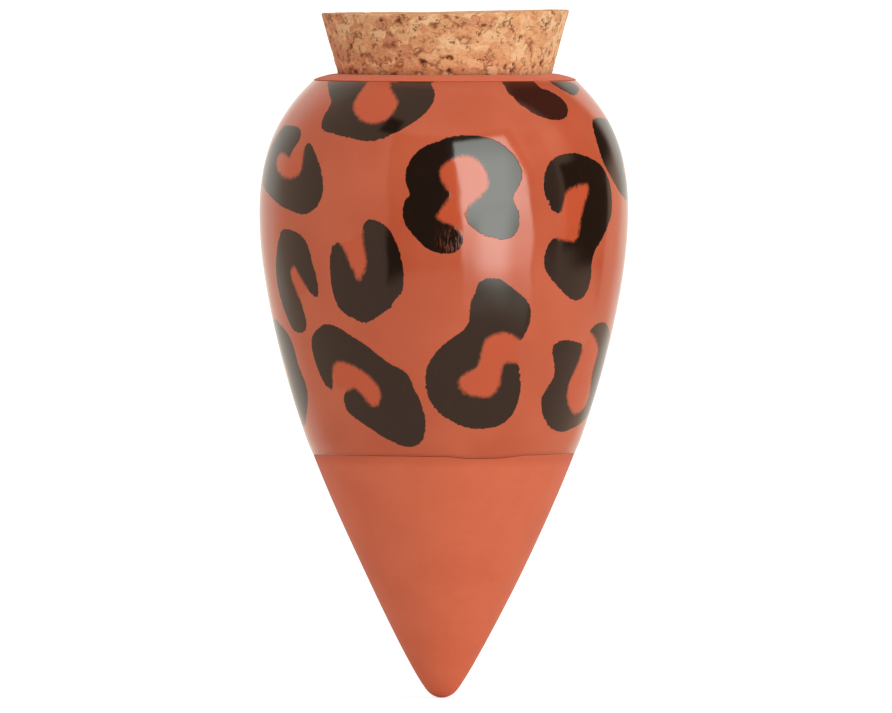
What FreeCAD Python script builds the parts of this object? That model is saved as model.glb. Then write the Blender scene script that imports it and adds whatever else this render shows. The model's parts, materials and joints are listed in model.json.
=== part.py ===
# Self watering spike: a hollow terracotta bulb with a pointed foot that is pushed into the soil.
# The chamber above the soil line is glazed and holds water, which seeps out through the bare clay
# of the foot. A tapered cork closes the mouth.
# Lengths are in millimetres. The origin is the centre of the soil line, and +Z points up.

import FreeCAD, Part
import math
import os
import Sketcher

# Driving dimensions. A share is a plain ratio of the sizes that it follows.
driving_dimensions = [
    ("chamber_height", 81.2, "soil line to the underside of the bare rim"),
    ("belly_radius", 39.7, "clay, where the chamber is widest"),
    ("soil_line_radius", 28.2, "clay, at the soil line"),
    ("foot_depth", 52.7, "soil line to the tip"),
    ("tip_radius", 4.15, "rounding of the tip"),
    ("wall_thickness", 4.5, "clay, all round the chamber and the foot"),
    ("tip_thickness", 9.5, "solid clay above the tip"),
    ("cavity_end_radius", 3.5, "rounding of the cavity's lowest end"),
    ("glaze_thickness", 0.3, "fired coat on the chamber"),
    ("mouth_radius", 23.4, "top edge of the conical seat"),
    ("rim_width", 5.1, "mouth to the outside of the bare rim"),
    ("rim_height", 1.3, "bare rim above the glaze"),
    ("rim_overhang", 0.08, "bare rim beyond the face of the glaze"),
    ("mouth_rounding", 0.5, "edge that the cork goes in over"),
    ("seat_depth", 5.0, "height of the conical seat"),
    ("cork_stand", 13.9, "cork above the rim"),
    ("cork_insert", 10.0, "cork below the top of the rim"),
    ("cork_rounding", 0.7, "cork's two edges"),
    ("seat_clearance", 0.2, "cork to its seat, across the axis"),
    ("taper_share", 0.277, "radius of seat and cork lost for each length of depth"),
    ("rim_rounding_share", 0.85, "of the rim's height"),
    ("shoulder_swell_share", 0.376, "of the way from the rim's radius to the belly's"),
    ("shoulder_height_share", 0.947, "of the chamber's height"),
    ("belly_swell_share", 1.125, "of the belly's radius, where its pole stands"),
    ("belly_height_share", 0.791, "of the chamber's height"),
    ("flare_height_share", 0.275, "of the chamber's height"),
    ("soil_slope_share", 0.367, "radius gained for each length of height at the soil line"),
    ("foot_depth_share", 0.266, "of the foot's depth"),
    ("point_radius_share", 1.65, "of the rounding that the foot ends in"),
    ("point_height_share", 1.28, "of the rounding that the foot ends in"),
]

# The outline runs down through these poles of its curves, from the rim to the tip
chamber_poles = ["rim", "shoulder", "belly", "flare", "soil_line"]
foot_poles = ["soil_line", "foot", "point"]

# Where each pole of the clay's outside stands: its radius and its height
clay_poles = {
    "rim": ("sizes.mouth_radius + sizes.rim_width - glaze_ledge", "sizes.chamber_height"),
    "shoulder": (
        "clay_rim_radius + (sizes.belly_radius - clay_rim_radius) * sizes.shoulder_swell_share",
        "sizes.chamber_height * sizes.shoulder_height_share",
    ),
    "belly": (
        "sizes.belly_radius * sizes.belly_swell_share",
        "sizes.chamber_height * sizes.belly_height_share",
    ),
    "flare": (
        "sizes.soil_line_radius + clay_flare_height * sizes.soil_slope_share",
        "sizes.chamber_height * sizes.flare_height_share",
    ),
    "soil_line": ("sizes.soil_line_radius", "0"),
    "foot": (
        "sizes.soil_line_radius + clay_foot_height * sizes.soil_slope_share",
        "-sizes.foot_depth * sizes.foot_depth_share",
    ),
}

# How far outward and upward the same pole of a skin lies, for each unit of the skin's thickness
skin_shares = {
    "rim": (1.42, 0.0),
    "shoulder": (0.71, 0.70),
    "belly": (1.08, 0.32),
    "flare": (0.967, -0.268),
    "soil_line": (1.065, 0.0),
    "foot": (0.921, -0.392),
}

# All poles of a curve pull alike
pole_weight = 1.0

# Edges this near to a place are at it
same_place = 1e-6


def fill_sheet(doc, name, rows):
    """A sheet with one row for each size: its alias, its number or formula, and any note."""
    sheet = doc.addObject("Spreadsheet::Sheet", name)
    for row, cells in enumerate(rows, start=1):
        for column, text in zip("ABC", cells):
            sheet.set(f"{column}{row}", str(text))
        sheet.setAlias(f"B{row}", cells[0])
    return sheet


def pole_rows():
    """Formulas for the places of all poles: of the clay, of the glaze on it and of the cavity."""
    glaze_at_rim = f"sizes.glaze_thickness * {skin_shares['rim'][0]}"
    rows = [("glaze_ledge", f"={glaze_at_rim} + sizes.rim_overhang")]
    for pole, (radius, height) in clay_poles.items():
        rows.append((f"clay_{pole}_height", f"={height}"))
        rows.append((f"clay_{pole}_radius", f"={radius}"))
    for skin, thickness, poles in [
        ("glaze", "sizes.glaze_thickness", chamber_poles),
        ("cavity", "-sizes.wall_thickness", ["shoulder", "belly", "flare", "soil_line", "foot"]),
    ]:
        for pole in poles:
            outward, upward = skin_shares[pole]
            for way, share in [("radius", outward), ("height", upward)]:
                place = f"=clay_{pole}_{way} + ({thickness}) * ({share})"
                rows.append((f"{skin}_{pole}_{way}", place))
    return rows


def fitting_rows():
    """Formulas for the rim, the seat, the cork and the two rounded ends of the foot."""
    return [
        ("rim_radius", "=sizes.mouth_radius + sizes.rim_width"),
        ("rim_top", "=sizes.chamber_height + sizes.rim_height"),
        ("rim_rounding", "=sizes.rim_height * sizes.rim_rounding_share"),
        ("cavity_rim_radius", "=sizes.mouth_radius - sizes.seat_depth * sizes.taper_share"),
        ("cavity_rim_height", "=rim_top - sizes.seat_depth"),
        ("cork_rim_radius", "=sizes.mouth_radius - sizes.seat_clearance"),
        ("cork_top_radius", "=cork_rim_radius + sizes.cork_stand * sizes.taper_share"),
        ("cork_bottom_radius", "=cork_rim_radius - sizes.cork_insert * sizes.taper_share"),
        ("clay_end_radius", "=sizes.tip_radius"),
        ("clay_end_height", "=-sizes.foot_depth"),
        ("cavity_end_radius", "=sizes.cavity_end_radius"),
        ("cavity_end_height", "=sizes.tip_thickness - sizes.foot_depth"),
        ("clay_point_radius", "=clay_end_radius * sizes.point_radius_share"),
        ("clay_point_height", "=clay_end_height + clay_end_radius * sizes.point_height_share"),
        ("cavity_point_radius", "=cavity_end_radius * sizes.point_radius_share"),
        ("cavity_point_height",
         "=cavity_end_height + cavity_end_radius * sizes.point_height_share"),
    ]


def new_sketch(body, name):
    """A sketch on the body's upright plane, with its vertical axis on the body's axis."""
    sketch = body.newObject("Sketcher::SketchObject", name)
    upright = [plane for plane in body.Origin.OriginFeatures if plane.Role == "XZ_Plane"]
    sketch.AttachmentSupport = [(upright[0], "")]
    sketch.MapMode = "FlatFace"
    return sketch


def bind(sketch, kind, ends, value, expression):
    """A dimension of the sketch that follows its expression."""
    number = sketch.addConstraint(Sketcher.Constraint(kind, *ends, value))
    sketch.setExpression(f"Constraints[{number}]", expression)


def place_of(name):
    """Radius and height that the sheet of places gives for a named point."""
    return getattr(places, f"{name}_radius"), getattr(places, f"{name}_height")


def hold(sketch, geometry, end, name):
    """Fixes one point of the sketch at the radius and height of a named point."""
    radius, height = place_of(name)
    bind(sketch, "DistanceX", (-1, 1, geometry, end), radius, f"places.{name}_radius")
    if name.endswith("soil_line"):
        sketch.addConstraint(Sketcher.Constraint("PointOnObject", geometry, end, -1))
    else:
        bind(sketch, "DistanceY", (-1, 1, geometry, end), height, f"places.{name}_height")


def add_spline(sketch, points, held):
    """A smooth curve whose poles are the points, each fixed where held names its place."""
    curve = Part.BSplineCurve()
    curve.buildFromPoles([FreeCAD.Vector(radius, height, 0) for radius, height in points])
    spline = sketch.addGeometry(curve)
    handles = []
    for number, (radius, height) in enumerate(points):
        centre = FreeCAD.Vector(radius, height, 0)
        circle = Part.Circle(centre, FreeCAD.Vector(0, 0, 1), pole_weight)
        handle = sketch.addGeometry(circle, True)
        sketch.addConstraint(Sketcher.Constraint(
            "InternalAlignment:Sketcher::BSplineControlPoint", handle, 3, spline, number))
        handles.append(handle)
    sketch.addConstraint(Sketcher.Constraint("Weight", handles[0], pole_weight))
    for handle in handles[1:]:
        sketch.addConstraint(Sketcher.Constraint("Equal", handles[0], handle))
    for handle, name in zip(handles, held):
        if name:
            hold(sketch, handle, 3, name)
    return spline


def add_chamber_curve(sketch, skin):
    """The curve from the rim down to the soil line."""
    names = [f"{skin}_{pole}" for pole in chamber_poles]
    return add_spline(sketch, [place_of(name) for name in names], names)


def add_foot_curve(sketch, skin, chamber):
    """The curve on from the soil line, and the arc that it runs into on the axis."""
    rounding, lowest = place_of(f"{skin}_end")
    centre = FreeCAD.Vector(0, lowest + rounding, 0)
    circle = Part.Circle(centre, FreeCAD.Vector(0, 0, 1), rounding)
    end = sketch.addGeometry(Part.ArcOfCircle(circle, math.radians(-90), math.radians(-45)))
    names = [f"{skin}_{pole}" for pole in foot_poles]
    meeting = sketch.getPoint(end, 2)
    points = [place_of(name) for name in names] + [(meeting.x, meeting.y)]
    foot = add_spline(sketch, points, [None] + names[1:] + [None])
    sketch.addConstraint(Sketcher.Constraint("Coincident", chamber, 2, foot, 1))
    sketch.addConstraint(Sketcher.Constraint("Tangent", foot, 2, end, 2))
    sketch.addConstraint(Sketcher.Constraint("PointOnObject", end, 3, -2))
    sketch.addConstraint(Sketcher.Constraint("PointOnObject", end, 1, -2))
    bind(sketch, "Radius", (end,), rounding, f"places.{skin}_end_radius")
    bind(sketch, "DistanceY", (-1, 1, end, 1), lowest, f"places.{skin}_end_height")
    return end


def add_line(sketch, start, finish):
    """A line between two places."""
    line = Part.LineSegment(FreeCAD.Vector(*start, 0), FreeCAD.Vector(*finish, 0))
    return sketch.addGeometry(line)


def join(sketch, one_end, other_end):
    """Makes two ends in the sketch one point."""
    sketch.addConstraint(Sketcher.Constraint("Coincident", *one_end, *other_end))


def revolve(body, sketch, name):
    """The section turned once about the body's axis."""
    turned = body.newObject("PartDesign::Revolution", name)
    turned.Profile = sketch
    turned.ReferenceAxis = (sketch, ["V_Axis"])
    turned.Angle = 360
    sketch.Visibility = False
    return turned


def round_edge(body, base, name, radius, edge_radius, edge_height):
    """Rounds the circular edge of the base that has the given radius and height."""
    body.Document.recompute()
    names = [
        f"Edge{number}" for number, edge in enumerate(base.Shape.Edges, start=1)
        if not edge.Degenerated and isinstance(edge.Curve, Part.Circle)
        and abs(edge.Curve.Radius - edge_radius) < same_place
        and abs(edge.Curve.Center.z - edge_height) < same_place
    ]
    rounded = body.newObject("PartDesign::Fillet", name)
    rounded.Base = (base, names)
    rounded.setExpression("Radius", radius)
    return rounded


def make_terracotta_body(doc):
    """The clay: one even wall from the mouth's conical seat to the solid tip of the foot."""
    body = doc.addObject("PartDesign::Body", "terracotta_body")
    sketch = new_sketch(body, "clay_section")
    outside = add_chamber_curve(sketch, "clay")
    outer_end = add_foot_curve(sketch, "clay", outside)
    inside = add_chamber_curve(sketch, "cavity")
    inner_end = add_foot_curve(sketch, "cavity", inside)

    mouth = (sizes.mouth_radius, places.rim_top)
    rim = (places.rim_radius, places.rim_top)
    ledge = (places.rim_radius, sizes.chamber_height)
    seat = add_line(sketch, place_of("cavity_rim"), mouth)
    top = add_line(sketch, mouth, rim)
    band = add_line(sketch, rim, ledge)
    under = add_line(sketch, ledge, place_of("clay_rim"))
    tip = add_line(sketch, (0, places.clay_end_height), (0, places.cavity_end_height))
    join(sketch, (inside, 1), (seat, 1))
    join(sketch, (seat, 2), (top, 1))
    join(sketch, (top, 2), (band, 1))
    join(sketch, (band, 2), (under, 1))
    join(sketch, (under, 2), (outside, 1))
    join(sketch, (outer_end, 1), (tip, 1))
    join(sketch, (inner_end, 1), (tip, 2))
    sketch.addConstraint(Sketcher.Constraint("Horizontal", top))
    sketch.addConstraint(Sketcher.Constraint("Horizontal", under))
    sketch.addConstraint(Sketcher.Constraint("Vertical", band))
    bind(sketch, "DistanceX", (-1, 1, top, 1), mouth[0], "sizes.mouth_radius")
    bind(sketch, "DistanceX", (top, 1, top, 2), rim[0] - mouth[0], "sizes.rim_width")
    bind(sketch, "DistanceY", (band, 2, band, 1), rim[1] - ledge[1], "sizes.rim_height")

    clay = revolve(body, sketch, "clay")
    rim_edge = round_edge(body, clay, "rim_rounded", "places.rim_rounding", *rim)
    round_edge(body, rim_edge, "mouth_rounded", "sizes.mouth_rounding", *mouth)
    return body


def make_glaze_coat(doc):
    """The fired coat: a thin skin on the clay from under the rim to the soil line."""
    body = doc.addObject("PartDesign::Body", "glaze_coat")
    sketch = new_sketch(body, "glaze_section")
    inner = add_chamber_curve(sketch, "clay")
    outer = add_chamber_curve(sketch, "glaze")
    top = add_line(sketch, place_of("clay_rim"), place_of("glaze_rim"))
    bottom = add_line(sketch, place_of("clay_soil_line"), place_of("glaze_soil_line"))
    join(sketch, (inner, 1), (top, 1))
    join(sketch, (outer, 1), (top, 2))
    join(sketch, (inner, 2), (bottom, 1))
    join(sketch, (outer, 2), (bottom, 2))
    revolve(body, sketch, "glaze")
    return body


def make_cork_stopper(doc):
    """The cork: a plug with the seat's taper, drawn about the top of the rim and set there."""
    body = doc.addObject("PartDesign::Body", "cork_stopper")
    sketch = new_sketch(body, "cork_section")
    top_rim = (places.cork_top_radius, sizes.cork_stand)
    bottom_rim = (places.cork_bottom_radius, -sizes.cork_insert)
    axis = add_line(sketch, (0, bottom_rim[1]), (0, top_rim[1]))
    top = add_line(sketch, (0, top_rim[1]), top_rim)
    side = add_line(sketch, top_rim, bottom_rim)
    bottom = add_line(sketch, bottom_rim, (0, bottom_rim[1]))
    join(sketch, (axis, 2), (top, 1))
    join(sketch, (top, 2), (side, 1))
    join(sketch, (side, 2), (bottom, 1))
    join(sketch, (bottom, 2), (axis, 1))
    sketch.addConstraint(Sketcher.Constraint("PointOnObject", axis, 1, -2))
    sketch.addConstraint(Sketcher.Constraint("PointOnObject", axis, 2, -2))
    sketch.addConstraint(Sketcher.Constraint("Horizontal", top))
    sketch.addConstraint(Sketcher.Constraint("Horizontal", bottom))
    bind(sketch, "DistanceX", (top, 1, top, 2), top_rim[0], "places.cork_top_radius")
    bind(sketch, "DistanceX", (bottom, 2, bottom, 1), bottom_rim[0], "places.cork_bottom_radius")
    bind(sketch, "DistanceY", (-1, 1, axis, 2), top_rim[1], "sizes.cork_stand")
    bind(sketch, "DistanceY", (axis, 1, -1, 1), -bottom_rim[1], "sizes.cork_insert")

    cork = revolve(body, sketch, "cork")
    top_edge = round_edge(body, cork, "top_rounded", "sizes.cork_rounding", *top_rim)
    round_edge(body, top_edge, "bottom_rounded", "sizes.cork_rounding", *bottom_rim)
    body.setExpression("Placement.Base.z", "places.rim_top")
    return body


def check(doc, bodies):
    """Stops on a feature that failed, a sketch that is loose or a body that isn't one solid."""
    for thing in doc.Objects:
        if "Invalid" in thing.State or "Error" in thing.State:
            raise RuntimeError(f"{thing.Name} failed: {thing.State}")
        if thing.TypeId == "Sketcher::SketchObject" and thing.solve() != 0:
            raise RuntimeError(f"{thing.Name} can't be solved")
    for body in bodies:
        shape = body.Shape
        if shape.isNull() or not shape.isValid() or len(shape.Solids) != 1:
            raise RuntimeError(f"{body.Label} isn't one valid solid")


doc = FreeCAD.newDocument("self_watering_spike")
sizes = fill_sheet(doc, "sizes", driving_dimensions)
places = fill_sheet(doc, "places", pole_rows() + fitting_rows())
doc.recompute()

bodies = [make_terracotta_body(doc), make_glaze_coat(doc), make_cork_stopper(doc)]
doc.recompute()
check(doc, bodies)

os.makedirs("parts", exist_ok=True)
for body in bodies:
    body.Shape.exportStep(f"parts/{body.Label}.step")
    box = body.Shape.optimalBoundingBox()
    print(f"{body.Label}: {body.Shape.Volume / 1000:.1f} cm3, "
          f"{box.XLength:.2f} x {box.YLength:.2f} x {box.ZLength:.2f} mm, "
          f"z {box.ZMin:.2f} to {box.ZMax:.2f}")
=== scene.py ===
import json
import math
import random

import bmesh
import bpy
import numpy as np
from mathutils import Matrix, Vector, kdtree, noise
from mathutils.geometry import interpolate_bezier

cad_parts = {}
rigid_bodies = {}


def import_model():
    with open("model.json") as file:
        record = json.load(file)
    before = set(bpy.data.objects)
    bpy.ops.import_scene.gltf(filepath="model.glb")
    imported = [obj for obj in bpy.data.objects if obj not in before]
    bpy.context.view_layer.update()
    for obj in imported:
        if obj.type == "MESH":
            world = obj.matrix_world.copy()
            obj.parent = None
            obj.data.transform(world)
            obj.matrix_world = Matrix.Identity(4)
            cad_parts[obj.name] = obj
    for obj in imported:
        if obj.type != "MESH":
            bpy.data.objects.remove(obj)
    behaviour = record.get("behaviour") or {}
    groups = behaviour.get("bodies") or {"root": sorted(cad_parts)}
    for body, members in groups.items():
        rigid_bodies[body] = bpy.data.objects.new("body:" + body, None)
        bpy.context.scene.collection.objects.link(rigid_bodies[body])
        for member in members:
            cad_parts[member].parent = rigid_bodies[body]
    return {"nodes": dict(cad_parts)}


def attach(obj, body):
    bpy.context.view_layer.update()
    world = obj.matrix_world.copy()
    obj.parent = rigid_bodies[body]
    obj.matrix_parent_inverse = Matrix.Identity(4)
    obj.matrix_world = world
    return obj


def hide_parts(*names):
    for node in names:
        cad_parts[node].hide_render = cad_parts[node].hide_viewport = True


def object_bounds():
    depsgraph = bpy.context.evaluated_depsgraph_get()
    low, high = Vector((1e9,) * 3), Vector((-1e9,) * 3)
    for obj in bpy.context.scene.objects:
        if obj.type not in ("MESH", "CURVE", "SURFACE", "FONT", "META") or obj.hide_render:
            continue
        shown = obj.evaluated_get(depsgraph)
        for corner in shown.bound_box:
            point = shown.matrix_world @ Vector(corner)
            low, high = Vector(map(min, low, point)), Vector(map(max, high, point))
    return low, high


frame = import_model()
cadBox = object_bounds()
mm = 0.001  # the shapes, spots and reliefs below are in millimetres
print("frame loaded:", ", ".join(sorted(frame["nodes"])))


# Shader maths

class Wire:
    def __init__(self, shader, socket):
        self.shader = shader
        self.socket = socket

    def math(self, operation, *values):
        return self.shader.node("ShaderNodeMath", {"operation": operation}, dict(enumerate(values)))

    def __add__(self, other):
        return self.math("ADD", self, other)

    def __radd__(self, other):
        return self.math("ADD", other, self)

    def __sub__(self, other):
        return self.math("SUBTRACT", self, other)

    def __rsub__(self, other):
        return self.math("SUBTRACT", other, self)

    def __mul__(self, other):
        return self.math("MULTIPLY", self, other)

    def __rmul__(self, other):
        return self.math("MULTIPLY", other, self)


class Shader:
    def __init__(self, owner):
        owner.use_nodes = True
        self.owner = owner
        self.tree = owner.node_tree
        self.tree.nodes.clear()

    def node(self, kind, settings=None, inputs=None, output=0):
        made = self.tree.nodes.new(kind)
        for name, value in (settings or {}).items():
            setattr(made, name, value)
        for name, value in (inputs or {}).items():
            if isinstance(value, Wire):
                self.tree.links.new(value.socket, made.inputs[name])
            else:
                made.inputs[name].default_value = value
        return Wire(self, made.outputs[output]) if made.outputs else made

    def mix(self, factor, first, second):
        return self.node("ShaderNodeMix", {"data_type": "RGBA"}, {0: factor, 6: first, 7: second}, 2)

    def rise(self, value, low, high):  # 0 at low, 1 at high, smooth between
        inputs = {"Value": value, "From Min": low, "From Max": high}
        return self.node("ShaderNodeMapRange", {"interpolation_type": "SMOOTHSTEP"}, inputs)

    def place(self):  # where a point lies on the piece, in millimetres
        at = self.node("ShaderNodeTexCoord", output="Object")
        return self.node("ShaderNodeVectorMath", {"operation": "SCALE"}, {0: at, "Scale": 1 / mm})

    def heightOf(self, at):
        return self.node("ShaderNodeSeparateXYZ", None, {"Vector": at}, 2)

    def stretched(self, at, scale):
        return self.node("ShaderNodeVectorMath", {"operation": "MULTIPLY"}, {0: at, 1: scale})

    def cloud(self, at, size, detail=2.0, roughness=0.5):
        inputs = {"Vector": at, "Scale": 1 / size, "Detail": detail, "Roughness": roughness}
        return self.node("ShaderNodeTexNoise", None, inputs)

    def bump(self, height, depth, under=None):
        inputs = {"Height": height, "Distance": depth * mm, "Strength": 1.0}
        if under:
            inputs["Normal"] = under
        return self.node("ShaderNodeBump", None, inputs)

    def read(self, attribute):
        return self.node("ShaderNodeAttribute", {"attribute_name": attribute}, output="Fac")


def colour(red, green, blue):  # from screen values of 0 to 255 to the linear colour that Blender works in
    shares = [value / 255 for value in (red, green, blue)]
    return [s / 12.92 if s <= 0.04045 else ((s + 0.055) / 1.055) ** 2.4 for s in shares] + [1.0]


def finishMaterial(shader, **inputs):
    named = {name.replace("_", " "): value for name, value in inputs.items()}
    surface = shader.node("ShaderNodeBsdfPrincipled", None, named)
    shader.node("ShaderNodeOutputMaterial", None, {"Surface": surface})
    return shader.owner


# Turned shapes

def bezierRun(start, handleOne, handleTwo, end, count):
    corners = [Vector((radius, height, 0)) for radius, height in (start, handleOne, handleTwo, end)]
    return [(p.x, p.y) for p in interpolate_bezier(*corners, count)]


def middle(one, two):
    return tuple((a + b) / 2 for a, b in zip(one, two))


def chamberRun(poles, count):  # the CAD outline's five poles, drawn as two Bezier runs that meet smoothly
    first, upper, belly, lower, last = poles
    above = middle(upper, belly)
    below = middle(belly, lower)
    joint = middle(above, below)
    half = count // 2
    return bezierRun(first, upper, above, joint, half)[:-1] + bezierRun(joint, below, lower, last, half)


def arcRun(centre, radius, fromDegrees, toDegrees, count):
    turns = [math.radians(fromDegrees + (toDegrees - fromDegrees) * i / count) for i in range(count + 1)]
    return [(centre[0] + radius * math.cos(t), centre[1] + radius * math.sin(t)) for t in turns]


def straightRun(start, end, count):
    return [tuple(a + (b - a) * i / count for a, b in zip(start, end)) for i in range(count + 1)]


def joined(*runs):  # one outline out of several, without the points that two runs share
    apart = 1e-4
    outline = []
    for point in (p for run in runs for p in run):
        if not outline or math.dist(outline[-1], point) > apart:
            outline.append(point)
    return outline


def sortFaces(shape):  # merging leaves the faces in an order that differs from run to run
    shape.verts.index_update()
    count = len(shape.verts)

    def place(face):
        corners = sorted(vert.index for vert in face.verts)
        return (corners[0] * count + corners[-1]) * count + corners[1]

    shape.faces.sort(key=place)


def turned(name, outline, steps, closed=False):
    shape = bmesh.new()
    corners = [shape.verts.new((radius * mm, 0, height * mm)) for radius, height in outline]
    pairs = list(zip(corners, corners[1:]))
    if closed:
        pairs.append((corners[-1], corners[0]))
    edges = [shape.edges.new(pair) for pair in pairs]
    weld = 0.0015 * mm
    bmesh.ops.spin(shape, geom=corners + edges, cent=(0, 0, 0), axis=(0, 0, 1), dvec=(0, 0, 0),
                   angle=math.tau, steps=steps, use_merge=True)
    bmesh.ops.remove_doubles(shape, verts=shape.verts, dist=weld)
    bmesh.ops.recalc_face_normals(shape, faces=shape.faces)
    sortFaces(shape)
    mesh = bpy.data.meshes.new(name)
    shape.to_mesh(mesh)
    shape.free()
    mesh.polygons.foreach_set("use_smooth", [True] * len(mesh.polygons))
    piece = bpy.data.objects.new(name, mesh)
    bpy.context.scene.collection.objects.link(piece)
    return piece


def pointsOf(piece):
    found = np.zeros(len(piece.data.vertices) * 3)
    piece.data.vertices.foreach_get("co", found)
    return found.reshape(-1, 3) / mm


def normalsOf(piece):
    found = np.zeros(len(piece.data.vertices) * 3)
    piece.data.vertices.foreach_get("normal", found)
    return found.reshape(-1, 3)


def setPoints(piece, points):
    piece.data.vertices.foreach_set("co", (points * mm).ravel())
    piece.data.update()


def giveAttribute(piece, name, values):
    piece.data.attributes.new(name, "FLOAT", "POINT").data.foreach_set("value", values.astype(np.float32))


def unevenness(points, size, seed):  # smooth noise from -1 to 1, with waves about size millimetres long
    away = Vector((seed * 17.3, seed * 5.1, seed * 29.7))
    return np.array([noise.noise(Vector(p) / size + away) for p in points])


def sloped(values, low, high):
    share = np.clip((values - low) / (high - low), 0, 1)
    return share * share * (3 - 2 * share)


lean = {"top": 0.25, "topFrom": 45, "topTo": 85, "point": 0.4, "pointFrom": 20, "pointTo": 52}


def leanAt(height):  # a cast shell isn't quite true: its top leans to the right and its point to the left
    rightwards = lean["top"] * sloped(height, lean["topFrom"], lean["topTo"])
    return rightwards - lean["point"] * sloped(-height, lean["pointFrom"], lean["pointTo"])


def dress(piece, body, node, material):
    piece.data.materials.append(material)
    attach(piece, body)
    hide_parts(node)


# The clay body: bare point, the wall behind the glaze, the rim, the cork's seat and the chamber inside

clay = {
    "steps": 240,
    "tip": {"centre": (0, -48.55), "radius": 4.15, "meetsAt": -43.7},
    "foot": [(6.848, -47.388), (23.055, -14.018), (28.2, 0)],
    "wall": [(28.2, 0), (36.395, 22.33), (44.663, 64.229), (32.395, 76.896), (27.994, 81.2)],
    "rimRadius": 28.42,
    "rimTop": 82.5,
    "rimRounding": (4.25, 1.22),  # across and up: the rim's top falls away outwards
    "rimFall": 1.65,  # 1 gives a round fall and 2 a straight one
    "mouthRadius": 23.4,
    "mouthRounding": 0.5,
    "seatEnd": (22.015, 77.5),
    "chamber": [(22.015, 77.5), (29.2, 73.746), (39.8, 62.789), (32.04, 23.536), (23.41, 0)],
    "footInside": [(23.41, 0), (18.91, -12.254), (5.775, -38.72)],
    "insideTip": {"centre": (0, -39.7), "radius": 3.5, "meetsAt": -44},
    "unevenness": 0.07,
    "waves": (9, 22),  # the lengths of its short and its long waves
    "glazedFrom": (-4, -0.5),  # it is even where the glaze lies on it
    "glazedTo": (80.6, 81.4),
    "grain": 0.28,
    "grainRelief": 0.025,
    "wipedRelief": 0.02,  # faint rings from the sponge
    "colours": {"body": colour(219, 110, 75), "pale": colour(228, 125, 90), "deep": colour(214, 105, 71),
                "pore": colour(170, 77, 50), "stain": colour(199, 93, 60)},
}


def clayOutline(c):
    tip = arcRun(c["tip"]["centre"], c["tip"]["radius"], -90, c["tip"]["meetsAt"], 12)
    foot = bezierRun(tip[-1], *c["foot"], 90)
    wall = chamberRun(c["wall"], 48)
    across, upwards = c["rimRounding"]
    lip = [(c["rimRadius"] - 0.04, c["wall"][-1][1] - 0.1)]  # it meets the glaze's upper edge
    bullnose = arcRun((0, 0), 1, 0, 90, 14)
    rim = [(c["rimRadius"] + across * (max(x, 0) ** c["rimFall"] - 1),
            c["rimTop"] + upwards * (y ** c["rimFall"] - 1)) for x, y in bullnose]
    mouthCentre = (c["mouthRadius"] + c["mouthRounding"], c["rimTop"] - c["mouthRounding"])
    mouth = arcRun(mouthCentre, c["mouthRounding"], 90, 180, 6)
    seat = straightRun(mouth[-1], c["seatEnd"], 8)
    chamber = chamberRun(c["chamber"], 36)
    inside = c["insideTip"]
    insideTip = arcRun(inside["centre"], inside["radius"], inside["meetsAt"], -90, 8)
    footInside = bezierRun(*c["footInside"], insideTip[0], 24)
    top = straightRun(rim[-1], mouth[0], 6)
    return joined(tip, foot, wall, lip, rim, top, mouth, seat, chamber, footInside, insideTip)


def clayMaterial(c):
    shader = Shader(bpy.data.materials.new("bareClay"))
    at = shader.place()
    grain = shader.cloud(at, c["grain"], 3.0, 0.65)
    blush = shader.cloud(at, 11.0, 3.0, 0.55)
    wiped = shader.cloud(shader.stretched(at, (0.12, 0.12, 0.9)), 1.0, 2.0)
    tones = c["colours"]
    blushed = shader.rise(blush + 0.12 * (wiped - 0.5), 0.25, 0.65)
    surface = shader.mix(blushed, tones["deep"], tones["body"])
    surface = shader.mix(shader.rise(grain, 0.5, 0.8) * 0.5, surface, tones["pale"])
    height = shader.heightOf(at)
    # darker just below the glaze, and inside as high as the water stands
    stained = shader.rise(height, -2.6, -0.2) * shader.rise(height, 60, 59)
    surface = shader.mix(stained * 0.6, surface, tones["stain"])
    pores = shader.rise(shader.cloud(at, 0.5, 1.0), 0.24, 0.17)
    surface = shader.mix(pores * 0.4, surface, tones["pore"])
    relief = shader.bump(grain - 0.8 * pores, c["grainRelief"])
    relief = shader.bump(wiped, c["wipedRelief"], relief)
    return finishMaterial(shader, Base_Color=surface, Roughness=0.86 - 0.1 * blush, Specular_IOR_Level=0.35,
                          Sheen_Weight=0.12, Sheen_Roughness=0.35, Normal=relief)


def makeClayBody(c):
    piece = turned("clay_body", clayOutline(c), c["steps"])
    points = pointsOf(piece)
    short, long = c["waves"]
    waves = (unevenness(points, short, 1) + unevenness(points, long, 2)) / 2
    inwards = c["unevenness"] * (waves - 1) / 2
    bare = 1 - sloped(points[:, 2], *c["glazedFrom"]) + sloped(points[:, 2], *c["glazedTo"])
    points += normalsOf(piece) * (inwards * bare)[:, None]
    points[:, 0] += leanAt(points[:, 2])
    setPoints(piece, points)
    dress(piece, "spike", "terracotta_body", clayMaterial(c))
    return piece


clayBody = makeClayBody(clay)
print("clay body:", len(clayBody.data.polygons), "faces")


# The glaze and the leopard spots that are brushed on it

# How the photograph was taken: its pixels and the millimetres a pixel, and the camera's distance, height,
# aimed height and shift to the right in millimetres
photo = {
    "width": 892,
    "height": 713,
    "scale": 0.2165,
    "distance": 6000,
    "camera": 155,
    "aim": 21.23,
    "side": 0.5,
}

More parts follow.
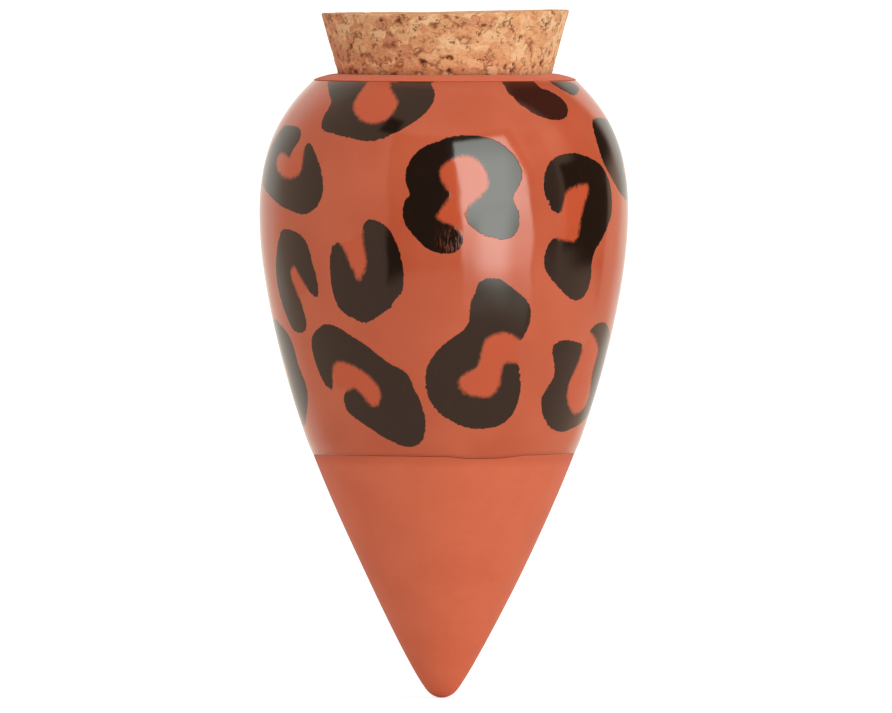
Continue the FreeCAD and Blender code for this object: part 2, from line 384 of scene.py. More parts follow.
# The brushed outlines' corners in the photograph's pixels. Past the body's sides they are guessed.
# Thin paint shows some of the clay's red. A dry place, where the brush left hairs, is a pixel and a radius
# in millimetres.
spots = {
    "topU": {
        "edge": [(330, 74), (328, 88), (330.8, 100), (328.5, 107), (323.5, 116), (321, 124), (323, 129.5),
                 (331, 132.5), (345, 136.2), (359, 139.5), (371, 140.8), (383, 137.3), (398.5, 130.5),
                 (414, 121), (427, 110), (434, 98), (434, 90), (430.5, 83), (431, 74), (394, 74), (389, 85),
                 (391.5, 92), (396, 100), (395.5, 105), (391, 113), (383, 119.6), (373, 121.8), (364, 120),
                 (357.5, 114.5), (354.2, 106.5), (356.5, 98), (363, 88.5), (369, 80), (371, 74)],
        "centre": [(366, 76), (358, 97), (352, 106), (357, 117), (372, 124), (389, 120), (398, 106),
                   (394, 92), (392, 76)],
    },
    "slant": {
        "edge": [(500, 74), (501, 81), (508, 92), (520, 104), (533, 113), (546, 118), (556, 119.5),
                 (564, 117.5), (567.3, 111), (565, 102.5), (558, 95.5), (548, 89.5), (540, 87), (534, 81.5),
                 (530, 74)],
        "thin": 0.55,
    },
    "chip": {
        "edge": [(549, 79), (560, 80), (573, 82.5), (578.5, 87), (577, 92.5), (572.5, 94.5), (565, 91),
                 (557, 86.5)],
    },
    "rightCrescent": {
        "edge": [(592, 119), (600, 117), (610, 119), (618, 126), (624, 136), (630, 148), (631, 157),
                 (627, 161), (624.5, 167), (627, 174), (632, 183), (632, 193), (628, 200),
                 (622.5, 196), (617, 188.5), (610, 176), (603, 162.5), (597, 145), (593, 130)],
        "centre": [(626, 157), (634, 158), (636, 173), (629, 173), (625, 166)],
    },
    "horseshoe": {
        "edge": [(436, 141), (446, 137), (457, 135), (474, 134.5), (489, 137.5), (501, 143.5), (511, 151.5),
                 (518, 161.5), (521.5, 174), (519, 184), (513.5, 193), (512.5, 200), (516, 207),
                 (518.5, 216), (517.5, 227), (513, 235), (504, 238.8), (494, 237.8), (484, 234.5),
                 (475, 229.5), (467, 222), (464.5, 214), (467, 206), (474, 199), (481, 193.5), (485.5, 187),
                 (486, 178), (483, 168.5), (476, 160.5), (467, 156.5), (458, 157), (449, 161), (442.5, 167),
                 (440.5, 174), (444, 183), (449.5, 190.5), (450.5, 194), (446, 203), (439, 213), (437.5, 217),
                 (444, 220.5), (454, 225), (461.5, 233), (463, 240), (459.5, 248), (452, 252.5), (440, 253),
                 (430, 250), (420.5, 243), (410, 231), (403.5, 220), (402.5, 210), (404.5, 200), (409, 193),
                 (406.5, 186), (405, 177), (407, 166), (412, 156.5), (420, 148.5), (429, 143.5)],
        "centre": [(447, 160), (467, 153), (482, 163), (489, 178), (484, 192), (472, 203), (463, 214),
                   (463, 232), (449, 224), (436, 217), (447, 201), (452, 194), (441, 180), (440, 170)],
        "dry": [(450, 242, 4.4)],
    },
    "hook": {
        "edge": [(545.5, 168.5), (549, 161.5), (557, 155.5), (567, 152.7), (577, 153), (589, 157),
                 (598, 162.5), (604.5, 171), (609.5, 184), (611.3, 198), (610.5, 214), (606, 229),
                 (600.5, 240), (595, 249), (591, 261), (590, 277), (587, 289), (582, 297), (575, 300),
                 (568, 297), (558, 287.5), (548, 275.5), (543.3, 264), (544, 253), (547.5, 244),
                 (552.5, 238), (562, 238.2), (574, 239.5), (577.5, 229), (580, 214), (583.5, 201), (587, 190),
                 (585.5, 184.5), (576, 186.5), (567, 191), (563.5, 199), (561, 211), (556, 212.5), (551, 210),
                 (547, 201), (543, 190), (543, 178)],
        "centre": [(566, 188), (588, 182), (590, 192), (583, 214), (577, 240), (560, 240), (559, 226),
                   (562, 211), (566, 198)],
    },
    "leftU": {
        "edge": [(276, 135), (283, 126), (292, 124.8), (299.5, 128), (301, 134), (298.5, 141), (293, 149),
                 (289, 157.5), (283, 153.5), (278.5, 155), (276.5, 162), (278, 169), (283, 174.5), (289, 177),
                 (295, 175.5), (299.5, 171), (301.5, 164), (302.5, 154), (305, 146), (309, 142), (313.5, 148),
                 (318, 160), (321.5, 172), (323, 184), (322.5, 193), (319, 203), (312, 210.5), (304, 213.7),
                 (296, 212.5), (289, 209), (282, 206.5), (274, 200), (266, 191), (261, 183), (262, 165),
                 (268, 148)],
        "centre": [(278, 154), (291, 155), (302, 150), (304, 164), (300, 177), (289, 180), (279, 174)],
    },
    "lambda": {
        "edge": [(281.5, 229.5), (287, 228.3), (296, 231.5), (303.5, 237.5), (308.5, 247), (312, 261),
                 (316, 276), (318.5, 290), (316.5, 296.5), (311, 293), (304.5, 285), (299, 276),
                 (294.5, 267.5), (292, 268.5), (291.3, 274), (294, 283), (298.5, 294), (302.5, 307),
                 (306, 320), (305.5, 329), (300, 332.5), (293, 329.5), (287.5, 319), (281, 301), (276.5, 281),
                 (275.5, 262), (277.5, 243)],
        "centre": [(292, 262), (300, 276), (306, 290), (299, 295), (292, 280)],
    },
    "vBlob": {
        "edge": [(337, 242), (332.5, 246.5), (330, 256), (330, 270), (331, 283), (334, 296), (338.5, 307),
                 (347, 314.5), (356, 319.5), (364.5, 322.2), (373, 319.5), (382, 312.5), (390, 308),
                 (393, 301.5), (401, 292), (403.3, 281), (402.8, 268), (400.5, 255), (396, 242), (389, 229),
                 (380, 221.5), (370.5, 218.7), (365, 221.5), (362, 231), (362, 244), (364.5, 257),
                 (364.5, 266), (361.5, 274), (358.5, 278.5), (355, 272), (350.5, 262), (346, 251),
                 (342, 244)],
        "centre": [(350, 240), (362, 232), (366, 262), (359, 281), (350, 262), (342, 243)],
    },
    "lowHook": {
        "edge": [(318, 328), (324, 324), (332, 324.5), (341, 328.5), (352, 336), (364, 343.5), (378, 354.5),
                 (392, 364.5), (404, 370.5), (409, 376.5), (413, 387), (419, 398), (423, 410), (425, 423),
                 (424, 435), (418.5, 444.5), (409, 447.3), (399, 445), (385, 438), (370.5, 428.5),
                 (358, 420), (349.5, 413.5), (344.5, 405), (344, 395), (348, 388.5), (354, 386.8), (360, 391),
                 (366, 399), (371.5, 404), (377, 402.5), (379.5, 395), (376.5, 386.5), (369, 377),
                 (359, 369.5), (347, 364), (338, 362.5), (334, 366), (333, 376), (332, 388), (328, 387),
                 (323.5, 382), (318, 370), (313.5, 357), (311.3, 343), (313, 334)],
        "centre": [(335, 361), (352, 364), (372, 376), (382, 394), (378, 406), (369, 407), (357, 392),
                   (346, 388), (336, 386)],
    },
    "gShape": {
        "edge": [(476, 287), (480, 280.5), (488, 277.2), (498, 278), (507, 283.5), (517, 291.5),
                 (525.5, 299.5), (529.8, 308), (529.5, 320), (526, 330), (521.5, 338), (517.5, 340.5),
                 (513, 336), (504, 333), (494, 334.5), (486.5, 339.5), (482.5, 348), (480.5, 358), (476, 368),
                 (466, 373.5), (459.5, 381), (460.5, 387.5), (466, 392.5), (477, 395.3), (488, 395),
                 (495, 390), (498.5, 381), (500, 370), (502.5, 363), (509, 361), (516, 362.5), (519, 370),
                 (520, 382), (518.5, 396), (514, 410), (506.5, 420), (496, 426), (483, 428.3), (467, 427.3),
                 (452, 421.5), (439, 412.5), (430, 401), (425.5, 388), (425, 375), (428.5, 362.5), (437, 350),
                 (450, 338.5), (462, 330.5), (468.5, 320), (469.5, 306)],
        "centre": [(488, 336), (504, 331), (516, 338), (514, 350), (516, 360), (502, 363), (500, 382),
                   (494, 396), (472, 397), (458, 388), (462, 376), (478, 368), (482, 350)],
    },
    "rightU": {
        "edge": [(551.5, 350), (554.5, 343), (562, 340), (573, 340.5), (581, 344), (581.8, 350), (579, 360),
                 (574.5, 371), (569.5, 382), (567.3, 393), (568.3, 403), (572.5, 411), (578, 411.5),
                 (584, 406), (588, 397), (590, 384), (591.5, 372), (595, 360), (597, 350), (594, 339),
                 (589, 332), (592, 326.5), (598.5, 322.3), (605, 322.5), (609, 330), (613, 345), (608, 370),
                 (600, 392), (590, 412), (581, 422.5), (570, 429), (560, 431.5), (551, 428), (544, 419),
                 (540.5, 407), (542, 395), (548, 385), (553, 376), (553.5, 364)],
        "centre": [(583, 346), (592, 334), (599, 350), (594, 374), (590, 397), (578, 414), (568, 404),
                   (568, 388), (576, 366)],
    },
    "leftCrescent": {
        "edge": [(274, 318), (281, 325), (288.5, 335), (294, 349), (298, 364), (302.5, 376), (306, 386),
                 (307.3, 397), (306.5, 410), (304.5, 424), (300.5, 424), (296, 415), (291, 403), (287, 393),
                 (286, 386), (287, 379), (285.5, 370), (281, 359), (275.5, 350), (271, 341), (268.5, 331),
                 (269.5, 321)],
        "centre": [(272, 354), (281, 363), (285, 375), (285, 389), (279, 389), (274, 372)],
    },
}

# Spots brushed on the sides and the back, which the photograph doesn't show: the one that each is like,
# degrees round to the right of the front, height, turn in degrees, size and whether it is mirrored
unseenSpots = [
    ("slant", 98, 77, -10, 0.9, False),
    ("topU", 138, 75, 15, 0.88, False),
    ("slant", 179, 75, 35, 0.88, True),
    ("topU", -137, 76, -16, 0.84, True),
    ("chip", -98, 77, 20, 1.2, True),
    ("horseshoe", 122, 53, 170, 0.9, False),
    ("hook", 162, 54, 4, 0.9, True),
    ("horseshoe", -154, 52, 60, 0.9, True),
    ("hook", -110, 55, 195, 0.86, False),
    ("lambda", 96, 37, -6, 0.9, True),
    ("vBlob", 135, 31, 160, 0.95, False),
    ("gShape", 174, 27, 150, 0.78, True),
    ("vBlob", -119, 32, 15, 0.9, True),
    ("lowHook", 114, 12, 100, 0.72, True),
    ("rightU", 150, 9, 80, 0.6, False),
    ("lowHook", -156, 15, 185, 0.76, False),
    ("leftU", -119, 10, 100, 0.66, True),
]

glaze = {
    "steps": 480,
    "rows": 164,
    "outside": [(28.42, 81.2), (32.608, 77.106), (44.987, 64.325), (36.685, 22.25), (28.52, 0)],
    "topLip": [(28.2, 81.0), (28.26, 81.19), (28.5, 81.13), (28.74, 80.89)],
    "lowLip": [(28.63, 0.3), (28.56, 0.1), (28.42, 0), (28.2, 0)],
    # how far the dipped lower edge strays from the soil line: degrees round, millimetres up
    "lowerEdge": [(-150, 0.3), (-100, 0.05), (-61, 0.2), (-20, 0.34), (2, 0.19), (12, -0.25), (26, -0.14),
                  (38, 0.4), (63, 0.5), (90, 0.3), (130, -0.1), (170, 0.2)],
    "unevenness": 0.09,
    "waves": 13,
    "outerFace": (0.1, 0.25),  # out from the clay
    "thinsBy": 0.2,  # towards its lower edge
    "thinsBelow": 3.5,
    "straysBelow": 4,
    "waver": (0.05, 2.5),  # the lower edge's own small waves: their height and their length
    "shadedHems": {"low": (0.25, 0.8), "top": (79.2, 80.9), "topShare": 0.6},  # where painted shade darkens the glaze: along its lower edge and just under the rim
    "paintRelief": 0.015,
    "ripple": 15.0,  # slow waves in the gloss, and how high they are
    "rippleRelief": 0.25,
    # the last of these colours is painted shade along the glaze's edges
    "colours": {"ground": colour(193, 87, 56), "deep": colour(200, 84, 50), "worn": colour(203, 97, 65),
                "black": colour(32, 20, 13), "brown": colour(78, 32, 22), "edgeShade": colour(150, 62, 38)},
}


def glazeOutline(g):
    topLip = bezierRun(*g["topLip"], 7)
    lowLip = bezierRun(*g["lowLip"], 7)
    outside = [p for p in chamberRun(g["outside"], g["rows"]) if lowLip[0][1] < p[1] < topLip[-1][1]]
    behind = [p for p in chamberRun(clay["wall"], 24) if 0 < p[1] < topLip[0][1]]  # from the soil line up
    return joined(topLip, outside, lowLip, behind)


class Wall:  # the glazed wall rolled out flat: lengths along the outline, up from the soil line
    def __init__(self, g):
        outline = np.array(chamberRun(g["outside"], 600)[::-1])
        self.radii, self.heights = outline.T
        steps = np.linalg.norm(np.diff(outline, axis=0), axis=1)
        self.lengths = np.concatenate([[0], np.cumsum(steps)])

    def radiusAt(self, height):
        return np.interp(height, self.heights, self.radii)

    def lengthAt(self, height):
        return np.interp(height, self.heights, self.lengths)

    def fromPhoto(self, across, down):  # degrees round and millimetres up of a pixel
        nearEdge = 0.97  # past this share of the radius a spot goes on at the same pace
        seenSide = (across + 0.5 - photo["width"] / 2) * photo["scale"] + photo["side"]
        seenHeight = (photo["height"] / 2 - down - 0.5) * photo["scale"] + photo["aim"]
        height = seenHeight
        for step in range(20):  # a point's height and its depth hang on each other
            radius = self.radiusAt(height)
            side = seenSide - leanAt(height)
            depth = math.sqrt(max(radius ** 2 - side ** 2, 0))
            height = seenHeight + depth * (photo["camera"] - height) / photo["distance"]
        share = abs(side) / radius
        angle = math.asin(min(share, nearEdge))
        if share > nearEdge:
            angle += (share - nearEdge) / math.sqrt(1 - nearEdge ** 2)
        return math.copysign(math.degrees(angle), side), height

    def rolledOut(self, corners, about=None):  # millimetres round and up from the middle of a spot
        places = np.array([self.fromPhoto(*corner[:2]) for corner in corners])
        degrees, heights = places.T
        if about is None:
            about = ((degrees.min() + degrees.max()) / 2, (heights.min() + heights.max()) / 2)
        across = np.radians(degrees - about[0]) * self.radiusAt(heights)
        return np.column_stack([across, self.lengthAt(heights) - self.lengthAt(about[1])]), about


def smoothLoop(corners, count=6):  # a closed curve through the corners
    loop = []
    for i in range(len(corners)):
        before, start, end, after = (Vector((*corners[(i + k) % len(corners)], 0)) for k in (-1, 0, 1, 2))
        leaving = start + (end - before) / 6
        arriving = end - (after - start) / 6
        run = interpolate_bezier(start, leaving, arriving, end, count + 1)
        loop += [(p.x, p.y) for p in run[:-1]]
    return np.array(loop)


def depthInside(points, loop):  # millimetres from the loop, positive inside it
    ends = np.roll(loop, -1, axis=0)
    along = ends - loop
    towards = points[:, None, :] - loop
    share = np.clip((towards * along).sum(2) / (along ** 2).sum(1), 0, 1)
    distance = np.linalg.norm(towards - share[..., None] * along, axis=2).min(1)
    spans = (loop[:, 1] > points[:, 1:]) != (ends[:, 1] > points[:, 1:])
    rise = np.where(along[:, 1] == 0, 1, along[:, 1])
    crossings = loop[:, 0] + (points[:, 1:] - loop[:, 1]) * along[:, 0] / rise
    inside = (spans & (points[:, :1] < crossings)).sum(1) % 2 == 1
    return np.where(inside, distance, -distance)


def brushSpots(points, wall):  # how deep each point lies in black paint and in an orange centre
    farOutside = -3.0
    degrees = np.degrees(np.arctan2(points[:, 0], -points[:, 1]))
    radii = np.hypot(points[:, 0], points[:, 1])
    lengths = wall.lengthAt(points[:, 2])
    paint = {"black": np.full(len(points), farOutside), "centre": np.full(len(points), farOutside),
             "dry": np.zeros(len(points)), "thin": np.zeros(len(points))}
    placed = [(name, None, None, 0, 1, False) for name in spots] + unseenSpots
    for name, degreesRound, height, turn, size, mirrored in placed:
        edge, own = wall.rolledOut(spots[name]["edge"])
        about = own if degreesRound is None else (degreesRound, height)
        across = np.radians((degrees - about[0] + 180) % 360 - 180) * radii
        local = np.column_stack([across, lengths - wall.lengthAt(about[1])])
        cos, sin = math.cos(math.radians(turn)), math.sin(math.radians(turn))
        local = local @ np.array([[cos, -sin], [sin, cos]]) / size
        if mirrored:
            local[:, 0] *= -1
        near = np.flatnonzero(np.abs(local).max(1) < np.abs(edge).max() - farOutside)
        local = local[near]
        inBlack = depthInside(local, smoothLoop(edge)) * size
        if "centre" in spots[name]:
            centre, own = wall.rolledOut(spots[name]["centre"], own)
            inCentre = depthInside(local, smoothLoop(centre)) * size
            paint["centre"][near] = np.maximum(paint["centre"][near], inCentre)
        paint["black"][near] = np.maximum(paint["black"][near], inBlack)
        thin = spots[name].get("thin", 0) * sloped(inBlack, -1, 0)
        paint["thin"][near] = np.maximum(paint["thin"][near], thin)
        for across, down, reach in spots[name].get("dry", ()):
            place, own = wall.rolledOut([(across, down)], own)
            away = np.linalg.norm(local - place[0], axis=1)
            paint["dry"][near] = np.maximum(paint["dry"][near], 1 - sloped(away, 0.2 * reach, reach))
    return paint


def glazeMaterial(g):
    shader = Shader(bpy.data.materials.new("paintedGlaze"))
    at = shader.place()
    tones = g["colours"]
    patchy = 0.75 + 0.85 * shader.rise(shader.cloud(at, 5.0, 1.0), 0.5, 0.66)
    ragged = (shader.cloud(at, 0.9, 4.0, 0.65) - 0.5) * patchy
    black = shader.read("black") + ragged
    centre = shader.read("centre") + ragged
    dry = shader.read("dry")
    thin = shader.read("thin")
    brushed = shader.cloud(shader.stretched(at, (1.0, 1.0, 0.22)), 0.8, 3.0, 0.6)
    hairs = shader.cloud(shader.stretched(at, (1.0, 1.0, 0.1)), 0.22, 2.0, 0.6)
    crisp = shader.rise(black, -0.08, 0.1)
    soft = shader.rise(black + 0.8 * (brushed - 0.5), -0.35, 0.8)
    towardsCentre = shader.rise(centre, -1.2, -0.3)
    cover = crisp + towardsCentre * (soft - crisp)
    cover = cover * (1.0 - 0.4 * dry * shader.rise(hairs, 0.5, 0.66))
    speckle = shader.cloud(at, 0.35, 3.0, 0.6)
    blush = shader.cloud(at, 16.0, 2.0, 0.5)
    surface = shader.mix(shader.rise(blush, 0.3, 0.75), tones["ground"], tones["worn"])
    surface = shader.mix(shader.rise(speckle, 0.5, 0.8) * 0.4, surface, tones["worn"])
    surface = shader.mix(shader.rise(speckle, 0.48, 0.25) * 0.5, surface, tones["deep"])
    surface = shader.mix(shader.rise(centre, -0.25, 0.35) * 0.8, surface, tones["deep"])
    pigment = shader.mix(thin + 0.25 * shader.rise(brushed, 0.5, 0.85), tones["black"], tones["brown"])
    surface = shader.mix(cover, surface, pigment)
    # painted shade along the glaze's lower edge and under the rim
    surface = shader.mix(shader.read("edgeShade") * 0.3, surface, tones["edgeShade"])
    relief = shader.bump(shader.cloud(at, g["ripple"], 1.0), g["rippleRelief"])
    relief = shader.bump(cover + 0.3 * brushed, g["paintRelief"], relief)
    return finishMaterial(shader, Base_Color=surface, Roughness=0.07 + 0.04 * brushed, IOR=1.5,
                          Normal=relief)


def makeGlaze(g):
    piece = turned("painted_glaze", glazeOutline(g), g["steps"], closed=True)
    points = pointsOf(piece)
    for name, values in brushSpots(points, Wall(g)).items():
        giveAttribute(piece, name, values)
    behind = Wall({"outside": clay["wall"]})
    out = np.hypot(points[:, 0], points[:, 1]) - behind.radiusAt(points[:, 2])
    outer = sloped(out, *g["outerFace"])
    waves = unevenness(points, g["waves"], 3)
    inwards = g["unevenness"] * (waves - 1) / 2 * outer * sloped(points[:, 2], 0, 5)
    inwards -= g["thinsBy"] * outer * (1 - sloped(points[:, 2], 0.2, g["thinsBelow"]))
    points = points + normalsOf(piece) * inwards[:, None]
    # painted shade: the glaze is darker towards its lower edge and, less so, just under the rim
    shadedHems = g["shadedHems"]
    edgeShade = 1 - sloped(points[:, 2], *shadedHems["low"]) + shadedHems["topShare"] * sloped(points[:, 2], *shadedHems["top"])
    giveAttribute(piece, "edgeShade", edgeShade)
    degrees = np.degrees(np.arctan2(points[:, 0], -points[:, 1]))
    turns, strays = zip(*g["lowerEdge"])
    waver, length = g["waver"]
    stray = np.interp(degrees, turns, strays, period=360) + waver * unevenness(points, length, 4)
    low = stray * (1 - sloped(points[:, 2], 0.3, g["straysBelow"]))
    slope = (g["outside"][3][0] - g["outside"][4][0]) / (g["outside"][3][1] - g["outside"][4][1])
    outwards = points[:, :2] / np.hypot(points[:, 0], points[:, 1])[:, None]
    points[:, 2] += low
    points[:, :2] += outwards * (low * slope)[:, None]
    points[:, 0] += leanAt(points[:, 2])
    setPoints(piece, points)
    dress(piece, "spike", "glaze_coat", glazeMaterial(g))
    return piece


glazeCoat = makeGlaze(glaze)
print("painted glaze:", len(glazeCoat.data.polygons), "faces")


# The cork

cork = {
    "steps": 480,
    "lowCorner": (20.43, 72.5),
    "topCorner": (27.05, 96.4),
    "rounding": 0.4,
    "seatTop": 82.0,
    "seed": 11,
    "granules": 3300,
    "granuleFlatness": 1.3,  # how much wider than high they are
    "bends": ((0.9, 1.7), (0.4, 0.7)),  # how far their edges bend, and over what lengths
    "crackWidths": (0.05, 0.5),
    "openPatches": 2.3,  # the cracks between them are open in patches of about this size
    "pits": 190,
    "pitSizes": (0.35, 0.95),
    "pitBend": (0.9, 0.8),
    "pitTaper": 0.277,  # the slope of the side that they lie in
    "relief": {"granule": 0.12, "crack": 0.22, "pit": 0.5},
    "leftDrop": 0.75,  # the top is cut a little lower on its left
    "dropFrom": 27.0,
    "dropOver": 30.0,
    "colours": {"body": colour(232, 168, 117), "light": colour(247, 200, 150), "red": colour(211, 139, 98),
                "crack": colour(138, 70, 40), "pit": colour(110, 52, 28)},
}


def taperOf(c):
    return (c["topCorner"][0] - c["lowCorner"][0]) / (c["topCorner"][1] - c["lowCorner"][1])


def corkOutline(c):
    bend = c["rounding"]
    taper = taperOf(c)
    slant = math.hypot(1, taper)
    tilt = -math.degrees(math.atan(taper))
    lowCentre = (c["lowCorner"][0] + (taper - slant) * bend, c["lowCorner"][1] + bend)
    topCentre = (c["topCorner"][0] - (taper + slant) * bend, c["topCorner"][1] - bend)
    low = arcRun(lowCentre, bend, -90, tilt, 4)
    top = arcRun(topCentre, bend, tilt, 90, 5)
    seat = (low[-1][0] + taper * (c["seatTop"] - low[-1][1]), c["seatTop"])
    under = straightRun((0, c["lowCorner"][1]), low[0], 40)
    over = straightRun(top[-1], (0, c["topCorner"][1]), 46)
    return joined(under, low, straightRun(low[-1], seat, 14), straightRun(seat, top[0], 50), top, over)


def granulate(points, c):  # which granule each point lies in, and how near it is to a crack or a pit
    chance = random.Random(c["seed"])
    noise.seed_set(c["seed"])  # noise_vector shifts with the time of day until it is given a seed
    reach = c["topCorner"][0] + 2
    bottom, top = c["lowCorner"][1] - 2, c["topCorner"][1] + 2
    grains = kdtree.KDTree(c["granules"])
    for i in range(c["granules"]):
        grains.insert((chance.uniform(-reach, reach), chance.uniform(-reach, reach),
                       c["granuleFlatness"] * chance.uniform(bottom, top)), i)
    grains.balance()
    tones = [chance.random() for i in range(c["granules"])]
    levels = [chance.random() for i in range(c["granules"])]
    tone = np.zeros(len(points))
    level = np.zeros(len(points))
    gap = np.zeros(len(points))
    for i, point in enumerate(points):
        at = Vector(point)
        at += sum((far * noise.noise_vector(at / length) for far, length in c["bends"]), Vector())
        at.z *= c["granuleFlatness"]
        (one, first, near), (two, second, further) = grains.find_n(at, 2)
        tone[i], level[i], gap[i] = tones[first], levels[first], further - near
    opened = sloped(unevenness(points, c["openPatches"], 5), 0.0, 0.28)
    crack = (1 - sloped(gap, *c["crackWidths"])) * opened
    pits = kdtree.KDTree(c["pits"])
    sizes = []
    for i in range(c["pits"]):
        turn = chance.uniform(0, math.tau)
        height = chance.uniform(c["lowCorner"][1], c["topCorner"][1])
        radius = c["lowCorner"][0] + c["pitTaper"] * (height - c["lowCorner"][1])
        if i % 3 == 0:  # every third pit is in the top
            height = c["topCorner"][1]
            radius *= math.sqrt(chance.random())
        pits.insert((radius * math.cos(turn), radius * math.sin(turn), height), i)
        sizes.append(chance.uniform(*c["pitSizes"]))
    pits.balance()
    far, length = c["pitBend"]
    pit = np.zeros(len(points))
    for i, point in enumerate(points):
        at = Vector(point)
        found, which, away = pits.find(at + far * noise.noise_vector(at / length))
        pit[i] = away / sizes[which]
    return tone, level, crack, 1 - sloped(pit, 0.45, 1.1)


def corkMaterial(c):
    shader = Shader(bpy.data.materials.new("pressedCork"))
    at = shader.place()
    tones = c["colours"]
    tone = shader.read("tone")
    fibre = shader.cloud(shader.stretched(at, (1.0, 1.0, 1.5)), 0.9, 5.0, 0.72)
    flecks = shader.cloud(at, 0.4, 2.0)
    folds = shader.cloud(at, 2.6, 3.0, 0.6)
    opened = shader.rise(shader.cloud(at, 2.2, 2.0), 0.49, 0.62) * shader.rise(flecks, 0.62, 0.42)
    fold = folds.math("ABSOLUTE", folds - 0.5)
    fineCrack = (1.0 - shader.rise(fold, 0.0, 0.06)) * opened
    # painted light: the last term makes the cork's tones lighter towards its right, the side the lamp is on
    across = shader.node("ShaderNodeSeparateXYZ", None, {"Vector": at})
    patches = 0.55 * tone + 1.15 * (fibre - 0.5) + 0.55 * shader.cloud(at, 3.4, 2.0) + 0.006 * across
    surface = shader.mix(shader.rise(patches, 0.18, 0.55), tones["red"], tones["body"])
    surface = shader.mix(shader.rise(patches, 0.48, 0.88), surface, tones["light"])
    surface = shader.mix(shader.rise(flecks, 0.62, 0.76) * 0.6, surface, tones["light"])
    surface = shader.mix(shader.rise(flecks, 0.36, 0.25) * 0.7, surface, tones["crack"])
    surface = shader.mix(fineCrack * 0.85, surface, tones["crack"])
    surface = shader.mix(shader.read("crack") * 0.8, surface, tones["crack"])
    surface = shader.mix(shader.read("pit") * 0.95, surface, tones["pit"])
    # painted shade: the cork darkens where it goes into the rim's mouth
    shadeNearMouth = shader.rise(shader.heightOf(at), c["seatTop"] + 3, c["seatTop"])
    surface = shader.mix(shadeNearMouth * 0.4, surface, tones["crack"])
    relief = shader.bump(fibre + 0.5 * flecks - 1.2 * fineCrack, 0.15)
    return finishMaterial(shader, Base_Color=surface, Roughness=0.82 + 0.1 * fibre, Specular_IOR_Level=0.25,
                          Normal=relief)


def makeCork(c):
    piece = turned("cork", corkOutline(c), c["steps"])
    points = pointsOf(piece)
    tone, level, crack, pit = granulate(points, c)
    giveAttribute(piece, "tone", tone)
    giveAttribute(piece, "crack", crack)
    giveAttribute(piece, "pit", pit)
    depths = c["relief"]
    inwards = depths["granule"] * level + depths["crack"] * crack + depths["pit"] * pit
    points -= normalsOf(piece) * inwards[:, None]
    drop = c["leftDrop"] * np.clip((c["dropFrom"] - points[:, 0]) / c["dropOver"], 0, 1)
    drop *= np.clip((points[:, 2] - c["seatTop"]) / (c["topCorner"][1] - c["seatTop"]), 0, 1)
    points[:, :2] *= (1 - taperOf(c) * drop / c["topCorner"][0])[:, None]  # and so a little narrower there
    points[:, 2] -= drop
    points[:, 0] += leanAt(points[:, 2])
    setPoints(piece, points)
    dress(piece, "stopper", "cork_stopper", corkMaterial(c))
    return piece


corkStopper = makeCork(cork)
print("cork:", len(corkStopper.data.polygons), "faces")


# Floor, light and camera

studio = {
    "floorRadius": 30.0,
    "floorGrey": (0.8, 0.8, 0.8, 1.0),
    "floorLift": 0.55,  # brings the floor up to white for the camera
    "softLight": 0.77,
    "lamp": {"azimuth": 44, "elevation": 3, "distance": 2.0, "width": 1.2, "height": 2.4, "radiance": 2.95,
             "aim": 0.03},
}

# The room that the glaze mirrors. Azimuth 0 is the camera's side and 90 the right. A card is a range of
# azimuths, a range of elevations, each with the blur of its ends, and a tone.
room = {
    "tones": {"surround": (0.93, 0.62, 0.46, 1.0), "white": (1.04, 0.97, 0.86, 1.0),
              "shade": (0.16, 0.08, 0.05, 1.0), "dark": (0.06, 0.04, 0.03, 1.0),
              "dim": (0.45, 0.29, 0.22, 1.0), "softbox": (6.6, 6.95, 6.5, 1.0)},
    "window": {"turn": (-34.2, 64, 0.8), "rise": (-17, 47, 2), "bow": 0.18},
    "cards": [((-57, -40, 2), (45, 57, 1.5), "dark"), ((60, 78, 3), (-12, 40, 4), "dim"),
              ((82, 125, 2), (-10, 18, 1.5), "dark"), ((95, 144, 6), (8, 64, 5), "dark")],
}


def makeFloor(s):
    shape = bmesh.new()
    bmesh.ops.create_circle(shape, cap_ends=True, segments=96, radius=s["floorRadius"])
    bmesh.ops.translate(shape, verts=shape.verts, vec=(0, 0, cadBox[0][2]))
    mesh = bpy.data.meshes.new("floor")
    shape.to_mesh(mesh)
    shape.free()
    floor = bpy.data.objects.new("floor", mesh)
    bpy.context.scene.collection.objects.link(floor)
    floor.visible_glossy = False
    shader = Shader(bpy.data.materials.new("paleFloor"))
    seen = shader.node("ShaderNodeLightPath", output="Is Camera Ray")
    matte = shader.node("ShaderNodeBsdfDiffuse", None, {"Color": s["floorGrey"]})
    lift = shader.node("ShaderNodeEmission", None, {"Color": (1.0, 1.0, 1.0, 1.0),
                                                    "Strength": s["floorLift"] * seen})
    both = shader.node("ShaderNodeAddShader", None, {0: matte, 1: lift})
    shader.node("ShaderNodeOutputMaterial", None, {"Surface": both})
    mesh.materials.append(shader.owner)
    return floor


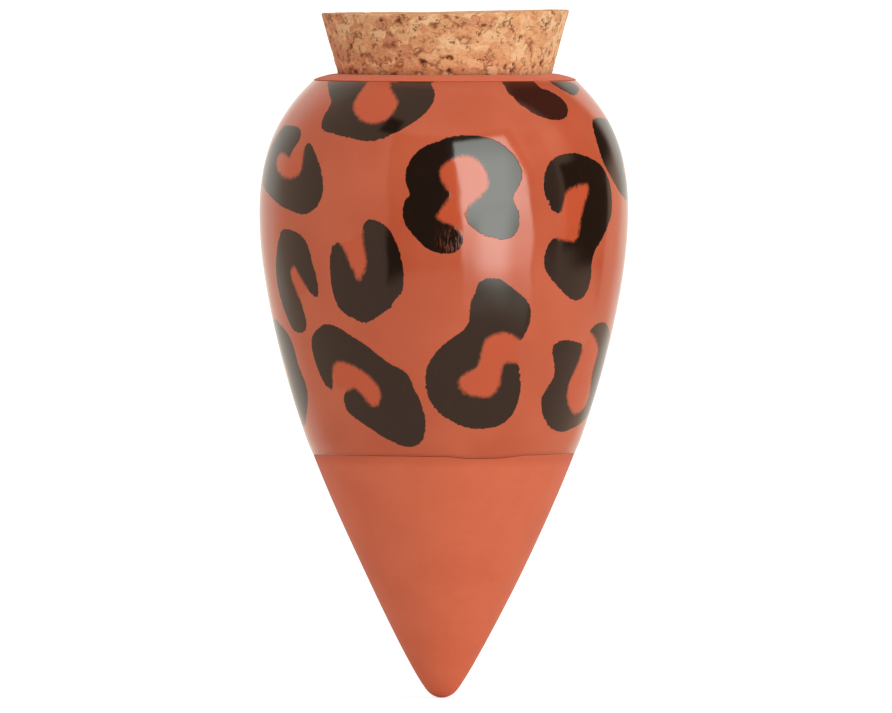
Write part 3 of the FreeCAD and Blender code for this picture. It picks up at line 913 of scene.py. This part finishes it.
def makeWorld(s, r):
    world = bpy.data.worlds.new("studio")
    bpy.context.scene.world = world
    shader = Shader(world)
    direction = shader.node("ShaderNodeTexCoord", output="Generated")
    across, away, up = (shader.node("ShaderNodeSeparateXYZ", None, {"Vector": direction}, axis)
                        for axis in range(3))
    azimuth = across.math("ARCTAN2", across, 0 - away) * math.degrees(1)
    elevation = up.math("ARCSINE", up) * math.degrees(1)

    def falls(value, low, high):  # 1 at low, 0 at high
        return 1.0 - shader.rise(value, low, high)

    def within(value, low, high, blur):
        return shader.rise(value, low - blur, low + blur) * falls(value, high - blur, high + blur)

    tones = r["tones"]
    behind = shader.rise(0 - azimuth, 116, 140) + shader.rise(azimuth, 140, 154)
    behind = behind * shader.rise(elevation, 66, 48) * (1.0 - 0.27 * shader.rise(elevation, 0, -8))
    mirrored = shader.mix(behind, tones["surround"], tones["white"])
    mirrored = shader.mix(shader.rise(elevation, -48, -58), mirrored, tones["shade"])
    window = r["window"]
    bowed = azimuth + window["bow"] * elevation.math("ABSOLUTE", elevation)
    mirrored = shader.mix(within(bowed, *window["turn"]) * within(elevation, *window["rise"]), mirrored,
                          tones["dark"])
    for turn, rise, tone in r["cards"]:
        mirrored = shader.mix(within(azimuth, *turn) * within(elevation, *rise), mirrored, tones[tone])

    # the tall softbox in front of the window: brightest on its left, weaker at its very top, with a bright
    # patch low down
    box = shader.rise(azimuth + 0.1 * elevation, 9.7, 11.3)
    box = box * falls(azimuth + 0.2 * elevation, 55.5, 57) * falls(elevation, 41, 44)
    low = shader.rise(elevation, -25, -8)
    high = shader.rise(elevation, -12, 4)
    corner = high * falls(azimuth, 38, 52) - shader.rise(elevation, 24, 40)
    patch = within(azimuth, 23, 42, 7) * shader.rise(elevation, -22, -12) * falls(elevation, -8, 2)
    glow = (0.42 * low + 0.36 * high + 0.22 * corner + 0.55 * patch) * box
    mirrored = shader.mix(glow, mirrored, tones["softbox"])

    # only reflections see the room: cameras and clear things see white, and matte things get an even light
    glossy, camera, through = (shader.node("ShaderNodeLightPath", output=name)
                               for name in ("Is Glossy Ray", "Is Camera Ray", "Is Transmission Ray"))
    even = s["softLight"]
    lit = shader.mix(glossy, (even, even, even, 1.0), mirrored)
    lit = shader.mix(camera.math("MAXIMUM", camera, through), lit, (1.0, 1.0, 1.0, 1.0))
    background = shader.node("ShaderNodeBackground", None, {"Color": lit, "Strength": 1.0})
    shader.node("ShaderNodeOutputWorld", None, {"Surface": background})


def makeLamp(settings):
    area = settings["width"] * settings["height"]
    light = bpy.data.lights.new("lamp", "AREA")
    light.shape = "RECTANGLE"
    light.size = settings["width"]
    light.size_y = settings["height"]
    light.energy = settings["radiance"] * math.pi * area
    lamp = bpy.data.objects.new("lamp", light)
    bpy.context.scene.collection.objects.link(lamp)
    azimuth, elevation = math.radians(settings["azimuth"]), math.radians(settings["elevation"])
    aim = Vector((0, 0, settings["aim"]))
    towards = Vector((math.sin(azimuth) * math.cos(elevation), -math.cos(azimuth) * math.cos(elevation),
                      math.sin(elevation)))
    lamp.location = aim + towards * settings["distance"]
    lamp.rotation_euler = towards.to_track_quat("Z", "Y").to_euler()
    lamp.visible_camera = False
    lamp.visible_glossy = False  # reflections see the softbox of the room instead


def makeCamera():
    sensorWidth = 36
    data = bpy.data.cameras.new("camera")
    camera = bpy.data.objects.new("camera", data)
    bpy.context.scene.collection.objects.link(camera)
    camera.location = Vector((photo["side"], -photo["distance"], photo["camera"])) * mm
    target = Vector((photo["side"], 0, photo["aim"])) * mm
    camera.rotation_euler = (target - camera.location).to_track_quat("-Z", "Y").to_euler()
    data.sensor_width = sensorWidth
    data.lens = sensorWidth * photo["distance"] / (photo["width"] * photo["scale"])
    data.clip_end = 200
    bpy.context.scene.camera = camera


makeFloor(studio)
makeWorld(studio, room)
makeLamp(studio["lamp"])
makeCamera()
bpy.context.scene.view_settings.view_transform = "Standard"
print("studio and camera set")
